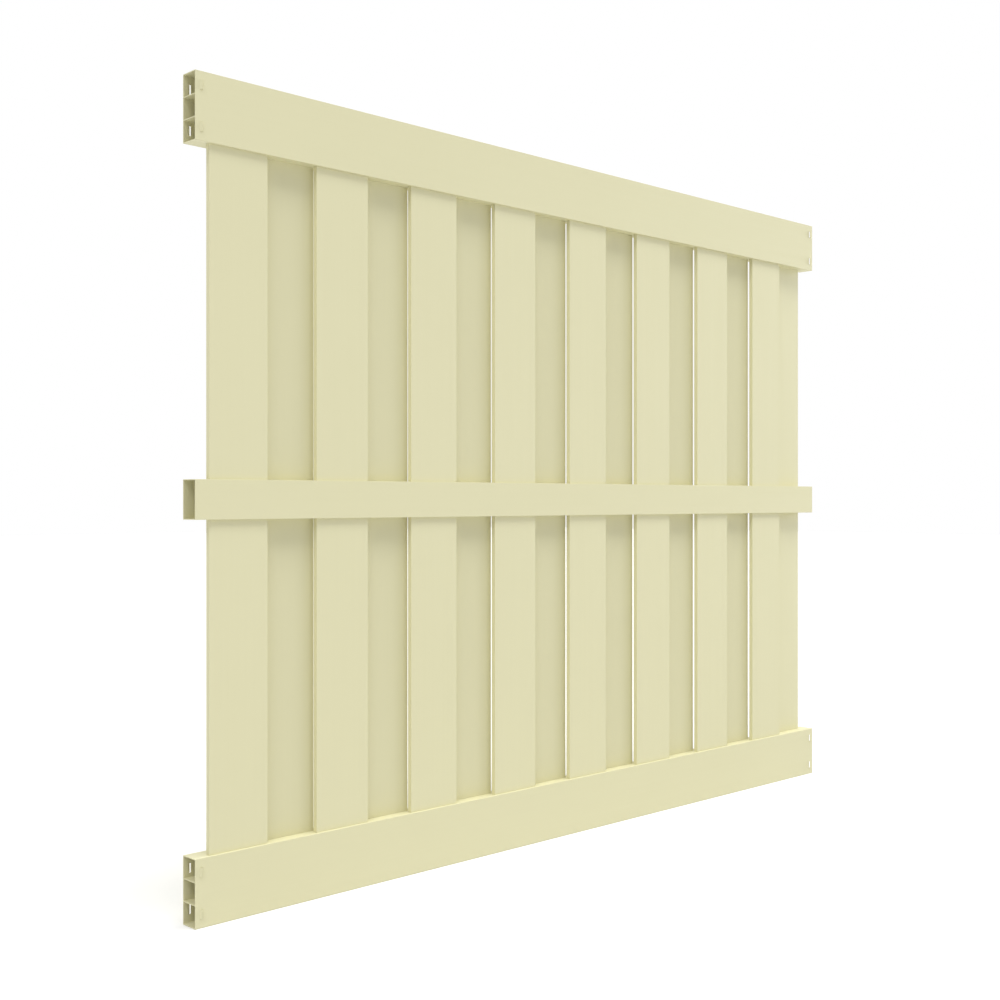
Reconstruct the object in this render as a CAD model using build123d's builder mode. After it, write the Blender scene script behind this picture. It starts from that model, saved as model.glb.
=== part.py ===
import os

from build123d import *

# Shadowbox fence panel in hollow vinyl extrusions, in millimetres.
# X runs along the rails, the front faces -Y, Z is up and Z = 0 is the underside of the bottom rail.

# Whole panel
panel_length = 2405.0
panel_height = 1873.25

# Rails
rail_depth = 50.8
outer_rail_height = 152.4
mid_rail_height = 88.9
rail_wall = 1.8
rail_corner_radius = 0.6
rail_webs = 2
web_thickness = 1.8
chamber_corner_radius = 0.5

# Pickets
pickets_per_row = 8
picket_width = 152.4
picket_thickness = 12.7
picket_wall = 1.4
picket_corner_radius = 0.3
picket_cells = 4
picket_rib = 1.2
row_gap = 10.6
end_margin = 39.5

# Fits
slot_clearance = 0.3
picket_top_gap = 4.0

# Lock tabs at the ends of the top and bottom rails
tab_length = 7.0
tab_height = 21.0
tab_bend = 34.0
tab_cut = 0.25
tab_from_rail_end = 11.7
tab_from_rail_edge = 30.5

# Rail section: equal chambers between the walls and webs
chamber_depth = rail_depth - 2 * rail_wall
chamber_count = rail_webs + 1
chamber_height = (outer_rail_height - 2 * rail_wall - rail_webs * web_thickness) / chamber_count
seat_depth = rail_wall + chamber_height
slot_reach = rail_wall + chamber_height / 2
rail_start = Plane.YZ.offset(-panel_length / 2)
mid_height = panel_height / 2

# Pickets stand on the upper web of the bottom rail and stop short of the lower web of the top rail
picket_foot = outer_rail_height - seat_depth
picket_length = panel_height - 2 * picket_foot - picket_top_gap

# Picket rows: front and back boards alternate along the rail
boards = 2 * pickets_per_row
board_step = (panel_length - 2 * end_margin - picket_width) / (boards - 1)
row_offset = (row_gap + picket_thickness) / 2
cell_pitch = (picket_width - 2 * picket_wall + picket_rib) / picket_cells
cell_width = cell_pitch - picket_rib
cell_depth = picket_thickness - 2 * picket_wall

# Lock tab places: the hinge line of the left front tabs, and the heights of both pairs
tab_hinge = -panel_length / 2 + tab_from_rail_end
rail_face = -rail_depth / 2
rail_inner_face = rail_face + rail_wall
lower_tabs = (0, 0, tab_from_rail_edge)
upper_tabs = (0, 0, outer_rail_height - tab_from_rail_edge)

os.makedirs("parts", exist_ok=True)

# Routed hole layout: the picket outline plus its clearance, in two staggered rows
with BuildSketch() as slot_layout:
    with Locations((-board_step / 2, -row_offset), (board_step / 2, row_offset)):
        with GridLocations(2 * board_step, 0, pickets_per_row, 1):
            Rectangle(picket_width + 2 * slot_clearance, picket_thickness + 2 * slot_clearance)

# Lock tab windows, one for each corner of the rail in plan
with BuildPart() as tab_windows:
    with BuildSketch():
        with Locations((tab_hinge, rail_face)):
            Rectangle(tab_length + tab_cut, rail_wall, align=(Align.MIN, Align.MIN))
    extrude(amount=tab_height / 2 + tab_cut, both=True)
    mirror(about=Plane.YZ)
    mirror(about=Plane.XZ)

# Lock tab flaps, bent outwards about a hinge on the side of the rail end
with BuildPart() as tab_flaps:
    with BuildSketch():
        with Locations((tab_hinge, rail_inner_face)):
            Rectangle(tab_length, rail_wall, rotation=-tab_bend, align=(Align.MIN, Align.MAX))
    extrude(amount=tab_height / 2, both=True)
    mirror(about=Plane.YZ)
    mirror(about=Plane.XZ)

# Bottom rail: chambered tube, routed from above, with lanced tabs at both ends
with BuildPart() as bottom_rail:
    with BuildSketch(rail_start):
        with Locations((0, outer_rail_height / 2)):
            RectangleRounded(rail_depth, outer_rail_height, rail_corner_radius)
            with GridLocations(0, chamber_height + web_thickness, 1, chamber_count):
                RectangleRounded(chamber_depth, chamber_height, chamber_corner_radius, mode=Mode.SUBTRACT)
    extrude(amount=panel_length)
    with BuildSketch(Plane.XY.offset(outer_rail_height)):
        add(slot_layout.sketch)
    extrude(amount=-slot_reach, mode=Mode.SUBTRACT)
    with Locations(lower_tabs, upper_tabs):
        add(tab_windows.part, mode=Mode.SUBTRACT)
        add(tab_flaps.part)
bottom_rail.part.label = "bottom_rail"
export_step(bottom_rail.part, "parts/bottom_rail.step")

# Top rail: the mirror image of the bottom rail, so its holes face down over the same pickets
with BuildPart() as top_rail:
    mirror(bottom_rail.part, about=Plane.XY.offset(mid_height))
top_rail.part.label = "top_rail"
export_step(top_rail.part, "parts/top_rail.step")

# Middle rail: plain tube, routed through both walls
with BuildPart() as mid_rail:
    with BuildSketch(rail_start):
        with Locations((0, mid_height)):
            RectangleRounded(rail_depth, mid_rail_height, rail_corner_radius)
            RectangleRounded(
                chamber_depth,
                mid_rail_height - 2 * rail_wall,
                chamber_corner_radius,
                mode=Mode.SUBTRACT,
            )
    extrude(amount=panel_length)
    with BuildSketch(Plane.XY.offset(mid_height)):
        add(slot_layout.sketch)
    extrude(amount=mid_rail_height, both=True, mode=Mode.SUBTRACT)
mid_rail.part.label = "mid_rail"
export_step(mid_rail.part, "parts/mid_rail.step")

# Pickets, alternately in the front and the back row
for board in range(boards):
    in_front = board % 2 == 0
    row_name = "front" if in_front else "back"
    node = f"{row_name}_picket_{board // 2 + 1}"
    board_x = (board - (boards - 1) / 2) * board_step
    board_y = -row_offset if in_front else row_offset
    with BuildPart() as picket:
        with BuildSketch(Plane((board_x, board_y, picket_foot))):
            RectangleRounded(picket_width, picket_thickness, picket_corner_radius)
            with GridLocations(cell_pitch, 0, picket_cells, 1):
                Rectangle(cell_width, cell_depth, mode=Mode.SUBTRACT)
        extrude(amount=picket_length)
    picket.part.label = node
    export_step(picket.part, f"parts/{node}.step")
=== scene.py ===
# Sand vinyl shadowbox fence panel in a white studio
import math

import bpy
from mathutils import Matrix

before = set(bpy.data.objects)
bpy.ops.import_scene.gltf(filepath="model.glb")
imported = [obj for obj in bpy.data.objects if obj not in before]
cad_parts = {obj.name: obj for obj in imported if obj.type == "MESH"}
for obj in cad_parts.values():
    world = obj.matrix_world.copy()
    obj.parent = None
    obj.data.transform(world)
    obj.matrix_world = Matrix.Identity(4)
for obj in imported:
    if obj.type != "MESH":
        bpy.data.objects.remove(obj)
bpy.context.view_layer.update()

# Camera, from the photograph's vanishing lines, in metres and degrees
camera_place = (-2.7342, -2.5752, 0.9366)
upright_deg = 90.0
camera_turn_deg = -43.881
camera_lens_mm = 47.952
camera_sensor_mm = 36.0
camera_rise = -0.0005

# Lamps: strength, bearing from straight in front towards the right, and height, in degrees
lamps = {
    "left_key_lamp": (1.16, -61.0, 54.0),
    "right_key_lamp": (0.78, 60.0, 54.0),
    "front_top_lamp": (0.68, 0.0, 72.0),
    "right_side_lamp": (1.75, 85.0, 9.0),
    "back_fill_lamp": (0.60, 180.0, 26.0),
}
lamp_spread_deg = 22.0
lamp_place = (0.0, 0.0, 4.0)

# Surround and floor
surround_strength = 0.45
backdrop_strength = 1.0
white = (1.0, 1.0, 1.0, 1.0)
floor_size = 60.0
floor_place = (0.0, 0.0, -0.0006)
floor_bounce = (0.71, 0.71, 0.71, 1.0)

# Sand vinyl, linear colours
vinyl_light = (0.742, 0.711, 0.462, 1.0)
vinyl_deep = (0.720, 0.689, 0.443, 1.0)
vinyl_ior = 1.46

# Vinyl surface: noise scales per metre, tone and roughness ranges, and bump in metres
cloud_scale = 2.4
cloud_detail = 3.0
line_scale = 190.0
line_detail = 2.0
line_tone_share = 0.35
grain_scale = 850.0
grain_detail = 2.0
grain_height_share = 0.25
noise_low = 0.3
noise_high = 0.7
rough_low = 0.52
rough_high = 0.64
bump_distance = 0.0004
bump_strength = 0.10

# Stretch that draws the extrusion lines along X on the rails and along Z on the pickets
line_stretch = 0.012
rail_stretch = (line_stretch, 1.0, 1.0)
picket_stretch = (1.0, 1.0, line_stretch)

# Step between nodes in the shader editor
node_step = 220.0

# The one material slot of a CAD node
only_slot = 0

# Socket places in nodes whose sockets share a name
first_value = 0
second_value = 1
third_value = 2
mix_colour_a = 6
mix_colour_b = 7
mix_colour_out = 2
shader_a = 1
shader_b = 2


def add_node(tree, kind, **values):
    """Add a shader node to the right of the last one and set its named properties."""
    node = tree.nodes.new(kind)
    node.location.x = node_step * len(tree.nodes)
    for name, value in values.items():
        setattr(node, name, value)
    return node


def set_inputs(node, **values):
    """Set a node's input sockets, written with underscores for spaces."""
    for name, value in values.items():
        node.inputs[name.replace("_", " ")].default_value = value


def make_vinyl_group():
    """Colour clouds, extrusion lines and fine grain of a vinyl extrusion."""
    group = bpy.data.node_groups.new("vinyl_extrusion", "ShaderNodeTree")
    sockets = group.interface
    sockets.new_socket("Position", in_out="INPUT", socket_type="NodeSocketVector")
    sockets.new_socket("Stretched Position", in_out="INPUT", socket_type="NodeSocketVector")
    sockets.new_socket("Light Tone", in_out="INPUT", socket_type="NodeSocketColor")
    sockets.new_socket("Deep Tone", in_out="INPUT", socket_type="NodeSocketColor")
    sockets.new_socket("Color", in_out="OUTPUT", socket_type="NodeSocketColor")
    sockets.new_socket("Roughness", in_out="OUTPUT", socket_type="NodeSocketFloat")
    sockets.new_socket("Height", in_out="OUTPUT", socket_type="NodeSocketFloat")

    entry = add_node(group, "NodeGroupInput")
    clouds = add_node(group, "ShaderNodeTexNoise")
    set_inputs(clouds, Scale=cloud_scale, Detail=cloud_detail)
    lines = add_node(group, "ShaderNodeTexNoise")
    set_inputs(lines, Scale=line_scale, Detail=line_detail)
    grain = add_node(group, "ShaderNodeTexNoise")
    set_inputs(grain, Scale=grain_scale, Detail=grain_detail)
    tone = add_node(group, "ShaderNodeMath", operation="MULTIPLY_ADD")
    tone.inputs[second_value].default_value = line_tone_share
    tone_mix = add_node(group, "ShaderNodeMix", data_type="RGBA")
    rough = add_node(group, "ShaderNodeMapRange")
    set_inputs(rough, From_Min=noise_low, From_Max=noise_high, To_Min=rough_low, To_Max=rough_high)
    height = add_node(group, "ShaderNodeMath", operation="MULTIPLY_ADD")
    height.inputs[second_value].default_value = grain_height_share
    leave = add_node(group, "NodeGroupOutput")

    link = group.links.new
    link(entry.outputs["Position"], clouds.inputs["Vector"])
    link(entry.outputs["Stretched Position"], lines.inputs["Vector"])
    link(entry.outputs["Position"], grain.inputs["Vector"])
    link(lines.outputs["Fac"], tone.inputs[first_value])
    link(clouds.outputs["Fac"], tone.inputs[third_value])
    link(tone.outputs["Value"], tone_mix.inputs["Factor"])
    link(entry.outputs["Light Tone"], tone_mix.inputs[mix_colour_a])
    link(entry.outputs["Deep Tone"], tone_mix.inputs[mix_colour_b])
    link(lines.outputs["Fac"], rough.inputs["Value"])
    link(grain.outputs["Fac"], height.inputs[first_value])
    link(lines.outputs["Fac"], height.inputs[third_value])
    link(tone_mix.outputs[mix_colour_out], leave.inputs["Color"])
    link(rough.outputs["Result"], leave.inputs["Roughness"])
    link(height.outputs["Value"], leave.inputs["Height"])
    return group


def make_vinyl(name, group, stretch):
    """Sand vinyl whose extrusion lines run along the stretched axis."""
    material = bpy.data.materials.new(name)
    material.use_nodes = True
    tree = material.node_tree
    tree.nodes.clear()
    place = add_node(tree, "ShaderNodeTexCoord")
    mapping = add_node(tree, "ShaderNodeMapping")
    set_inputs(mapping, Scale=stretch)
    surface = add_node(tree, "ShaderNodeGroup", node_tree=group)
    set_inputs(surface, Light_Tone=vinyl_light, Deep_Tone=vinyl_deep)
    bump = add_node(tree, "ShaderNodeBump")
    set_inputs(bump, Strength=bump_strength, Distance=bump_distance)
    shader = add_node(tree, "ShaderNodeBsdfPrincipled")
    set_inputs(shader, IOR=vinyl_ior)
    leave = add_node(tree, "ShaderNodeOutputMaterial")

    link = tree.links.new
    link(place.outputs["Object"], mapping.inputs["Vector"])
    link(place.outputs["Object"], surface.inputs["Position"])
    link(mapping.outputs["Vector"], surface.inputs["Stretched Position"])
    link(surface.outputs["Height"], bump.inputs["Height"])
    link(surface.outputs["Color"], shader.inputs["Base Color"])
    link(surface.outputs["Roughness"], shader.inputs["Roughness"])
    link(bump.outputs["Normal"], shader.inputs["Normal"])
    link(shader.outputs["BSDF"], leave.inputs["Surface"])
    return material


def dress_nodes():
    """Give the rails and the pickets their vinyl."""
    group = make_vinyl_group()
    rail_vinyl = make_vinyl("rail_vinyl_sand", group, rail_stretch)
    picket_vinyl = make_vinyl("picket_vinyl_sand", group, picket_stretch)
    for name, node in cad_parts.items():
        is_rail = name.endswith("_rail")
        node.material_slots[only_slot].material = rail_vinyl if is_rail else picket_vinyl


def add_seen_rays(tree):
    """Mask of the rays that show a surface: straight, mirrored or through glass."""
    rays = add_node(tree, "ShaderNodeLightPath")
    straight_or_mirrored = add_node(tree, "ShaderNodeMath", operation="MAXIMUM")
    seen = add_node(tree, "ShaderNodeMath", operation="MAXIMUM")
    link = tree.links.new
    link(rays.outputs["Is Camera Ray"], straight_or_mirrored.inputs[first_value])
    link(rays.outputs["Is Glossy Ray"], straight_or_mirrored.inputs[second_value])
    link(straight_or_mirrored.outputs["Value"], seen.inputs[first_value])
    link(rays.outputs["Is Transmission Ray"], seen.inputs[second_value])
    return seen.outputs["Value"]


def make_floor():
    """Plain pale floor: white where it is seen, softer in what it throws back."""
    bpy.ops.object.select_all(action="DESELECT")
    bpy.ops.mesh.primitive_plane_add(size=floor_size, location=floor_place)
    floor = bpy.context.active_object
    floor.name = "studio_floor"
    material = bpy.data.materials.new("studio_floor_white")
    material.use_nodes = True
    tree = material.node_tree
    tree.nodes.clear()
    seen_rays = add_seen_rays(tree)
    bounce = add_node(tree, "ShaderNodeBsdfDiffuse")
    set_inputs(bounce, Color=floor_bounce)
    seen = add_node(tree, "ShaderNodeBsdfDiffuse")
    set_inputs(seen, Color=white)
    pick = add_node(tree, "ShaderNodeMixShader")
    leave = add_node(tree, "ShaderNodeOutputMaterial")
    link = tree.links.new
    link(seen_rays, pick.inputs["Fac"])
    link(bounce.outputs["BSDF"], pick.inputs[shader_a])
    link(seen.outputs["BSDF"], pick.inputs[shader_b])
    link(pick.outputs["Shader"], leave.inputs["Surface"])
    floor.data.materials.append(material)


def make_surround():
    """White backdrop that lights the panel evenly at a lower level."""
    world = bpy.data.worlds.new("studio_surround")
    bpy.context.scene.world = world
    world.use_nodes = True
    tree = world.node_tree
    tree.nodes.clear()
    seen_rays = add_seen_rays(tree)
    surround = add_node(tree, "ShaderNodeBackground")
    set_inputs(surround, Color=white, Strength=surround_strength)
    backdrop = add_node(tree, "ShaderNodeBackground")
    set_inputs(backdrop, Color=white, Strength=backdrop_strength)
    pick = add_node(tree, "ShaderNodeMixShader")
    leave = add_node(tree, "ShaderNodeOutputWorld")
    link = tree.links.new
    link(seen_rays, pick.inputs["Fac"])
    link(surround.outputs["Background"], pick.inputs[shader_a])
    link(backdrop.outputs["Background"], pick.inputs[shader_b])
    link(pick.outputs["Shader"], leave.inputs["Surface"])


def make_lamps():
    """Broad soft lamps: three high in front, one low on the right and a weak one behind."""
    for name, (strength, bearing_deg, height_deg) in lamps.items():
        bpy.ops.object.light_add(type="SUN", location=lamp_place)
        lamp = bpy.context.active_object
        lamp.name = name
        lamp.data.energy = strength
        lamp.data.angle = math.radians(lamp_spread_deg)
        lamp.rotation_euler = (math.radians(upright_deg - height_deg), 0.0, math.radians(bearing_deg))


def make_camera():
    """Level camera off the panel's left front."""
    bpy.ops.object.camera_add(location=camera_place)
    camera = bpy.context.active_object
    camera.name = "photo_camera"
    camera.rotation_euler = (math.radians(upright_deg), 0.0, math.radians(camera_turn_deg))
    camera.data.sensor_width = camera_sensor_mm
    camera.data.lens = camera_lens_mm
    camera.data.shift_y = camera_rise
    bpy.context.scene.camera = camera


dress_nodes()
make_floor()
make_surround()
make_lamps()
make_camera()
bpy.context.scene.view_settings.view_transform = "Standard"
